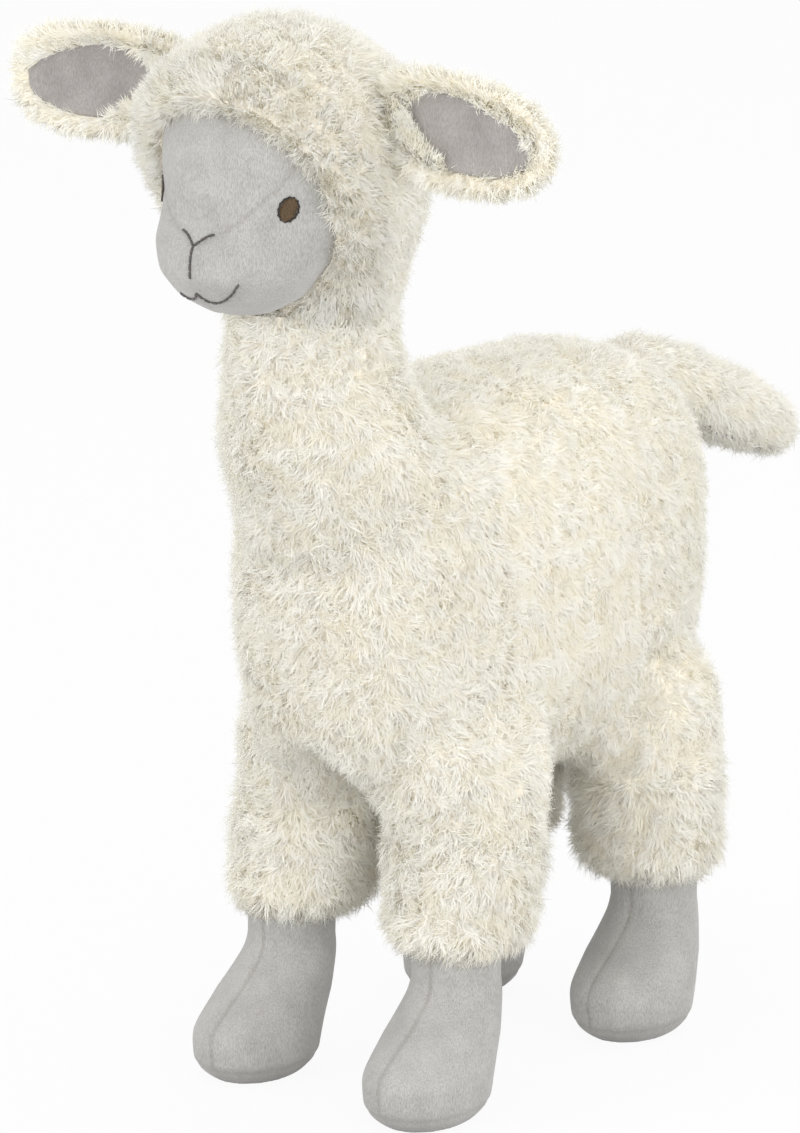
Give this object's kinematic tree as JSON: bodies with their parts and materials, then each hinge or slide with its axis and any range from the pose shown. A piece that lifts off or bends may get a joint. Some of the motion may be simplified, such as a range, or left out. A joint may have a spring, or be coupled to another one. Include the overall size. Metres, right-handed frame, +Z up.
{
  "type": "plush llama",
  "caption": "Standing plush llama with a long neck, hooded round head, flat side ears, fleecy body and legs, tail and grey boots; head, neck, ears, legs and tail bend.",
  "frame": {"origin": "on the ground under the middle of the toy's bounding box", "axes": "+Z up, -Y the way the llama faces, +X towards its own left side"},
  "size_m": [0.2242, 0.3318, 0.3765],
  "materials": {
    "pile": "long soft matted pile",
    "velour": "short-napped velour",
    "lining": "short-napped velour, a little darker",
    "fibre": "loose polyester filling",
    "eye_thread": "satin-stitched thread",
    "mouth_thread": "backstitched thread"
  },
  "bodies": {
    "torso": {"side_panel_left": "pile", "side_panel_right": "pile", "belly_gusset": "pile", "torso_filling": "fibre"},
    "neck": {"neck_side_left": "pile", "neck_side_right": "pile", "neck_filling": "fibre"},
    "head": {"head_gusset": "pile", "head_side_left": "pile", "head_side_right": "pile", "forehead_panel": "velour", "cheek_left": "velour", "cheek_right": "velour", "head_filling": "fibre", "eye_left": "eye_thread", "eye_right": "eye_thread", "nose_stitching": "mouth_thread", "mouth_stitching": "mouth_thread"},
    "ear_left": {"ear_left_back": "pile", "ear_left_lining": "lining"},
    "ear_right": {"ear_right_back": "pile", "ear_right_lining": "lining"},
    "leg_front_left": {"leg_front_left_sleeve": "pile", "leg_front_left_filling": "fibre", "boot_front_left_outer_half": "velour", "boot_front_left_inner_half": "velour", "boot_front_left_sole": "velour", "boot_front_left_filling": "fibre"},
    "leg_front_right": {"leg_front_right_sleeve": "pile", "leg_front_right_filling": "fibre", "boot_front_right_outer_half": "velour", "boot_front_right_inner_half": "velour", "boot_front_right_sole": "velour", "boot_front_right_filling": "fibre"},
    "leg_hind_left": {"leg_hind_left_sleeve": "pile", "leg_hind_left_filling": "fibre", "boot_hind_left_outer_half": "velour", "boot_hind_left_inner_half": "velour", "boot_hind_left_sole": "velour", "boot_hind_left_filling": "fibre"},
    "leg_hind_right": {"leg_hind_right_sleeve": "pile", "leg_hind_right_filling": "fibre", "boot_hind_right_outer_half": "velour", "boot_hind_right_inner_half": "velour", "boot_hind_right_sole": "velour", "boot_hind_right_filling": "fibre"},
    "tail": {"tail_top": "pile", "tail_underside": "lining", "tail_filling": "fibre"}
  },
  "joints": [
    {"name": "neck_bend", "type": "hinge", "parent": "torso", "child": "neck", "pos_m": [0, -0.08574, 0.214], "axis": [1, 0, 0], "range_deg": [-12, 12], "stiffness_Nm_per_rad": 2.5},
    {"name": "head_turn", "type": "hinge", "parent": "neck", "child": "head", "pos_m": [0, -0.10274, 0.279], "axis": [0, 0, 1], "range_deg": [-30, 30], "stiffness_Nm_per_rad": 0.8},
    {"name": "ear_left_flop", "type": "hinge", "parent": "head", "child": "ear_left", "pos_m": [0.042, -0.11324, 0.35], "axis": [0.052, -0.0055, 0.9986], "range_deg": [-30, 30], "stiffness_Nm_per_rad": 0.03},
    {"name": "ear_right_flop", "type": "hinge", "parent": "head", "child": "ear_right", "pos_m": [-0.042, -0.11324, 0.35], "axis": [0.052, 0.0055, -0.9986], "range_deg": [-30, 30], "stiffness_Nm_per_rad": 0.03},
    {"name": "leg_front_left_swing", "type": "hinge", "parent": "torso", "child": "leg_front_left", "pos_m": [0.0315, -0.05674, 0.118], "axis": [1, 0, 0], "range_deg": [-15, 15], "stiffness_Nm_per_rad": 1.5},
    {"name": "leg_front_right_swing", "type": "hinge", "parent": "torso", "child": "leg_front_right", "pos_m": [-0.0315, -0.05674, 0.118], "axis": [1, 0, 0], "range_deg": [-15, 15], "stiffness_Nm_per_rad": 1.5},
    {"name": "leg_hind_left_swing", "type": "hinge", "parent": "torso", "child": "leg_hind_left", "pos_m": [0.0315, 0.04326, 0.118], "axis": [1, 0, 0], "range_deg": [-15, 15], "stiffness_Nm_per_rad": 1.5},
    {"name": "leg_hind_right_swing", "type": "hinge", "parent": "torso", "child": "leg_hind_right", "pos_m": [-0.0315, 0.04326, 0.118], "axis": [1, 0, 0], "range_deg": [-15, 15], "stiffness_Nm_per_rad": 1.5},
    {"name": "tail_lift", "type": "hinge", "parent": "torso", "child": "tail", "pos_m": [0, 0.07426, 0.222], "axis": [1, 0, 0], "range_deg": [-20, 20], "stiffness_Nm_per_rad": 0.4}
  ]
}
